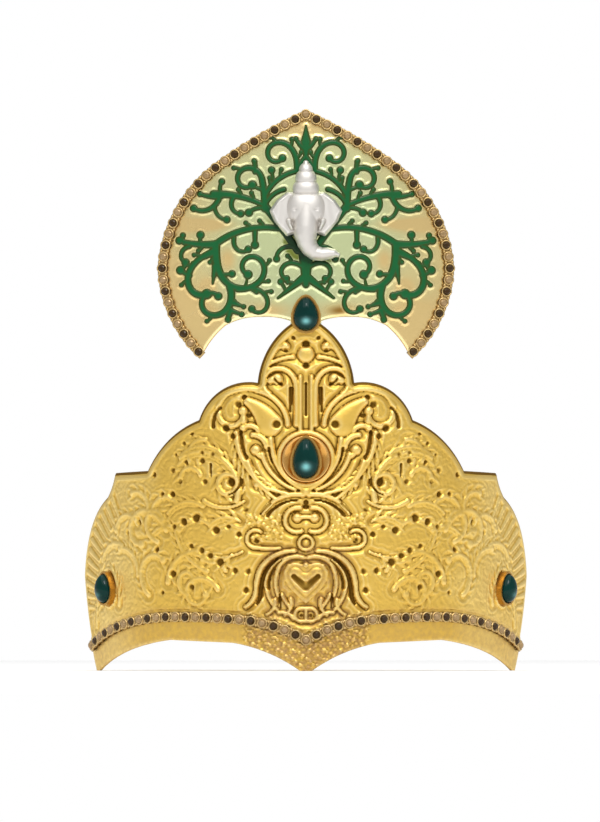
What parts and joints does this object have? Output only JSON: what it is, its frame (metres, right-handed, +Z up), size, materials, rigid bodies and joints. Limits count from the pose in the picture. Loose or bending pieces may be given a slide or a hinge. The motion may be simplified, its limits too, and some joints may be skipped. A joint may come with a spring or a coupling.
{
  "type": "deity crown",
  "caption": "Gilt embossed tiara for a household idol, with a raised fan plate carrying green scrollwork, stone borders and a silver elephant head.",
  "frame": {"origin": "Centre of the bounding box at its bottom, on the surface the crown stands on", "axes": "+Z up, +Y towards the back of the wearer's head, the front faces -Y, +X to the viewer's right"},
  "size_m": [0.1218, 0.0505, 0.1515],
  "materials": {
    "embossed_gold": "polished",
    "pale_gold": "polished",
    "green_enamel": "gloss enamel",
    "green_glass": "polished cabochon",
    "stone_border": "small faceted stones in a gilt strip",
    "silver": "satin silver plate"
  },
  "bodies": {
    "root": {"tiara": "embossed_gold", "fan_plate": "pale_gold", "scroll_enamel": "green_enamel", "elephant_head": "silver", "tiara_stone_border": "stone_border", "fan_stone_border": "stone_border", "centre_bezel": "embossed_gold", "centre_stone": "green_glass", "apex_bezel": "embossed_gold", "apex_stone": "green_glass", "left_bezel": "embossed_gold", "left_stone": "green_glass", "right_bezel": "embossed_gold", "right_stone": "green_glass"}
  },
  "joints": []
}
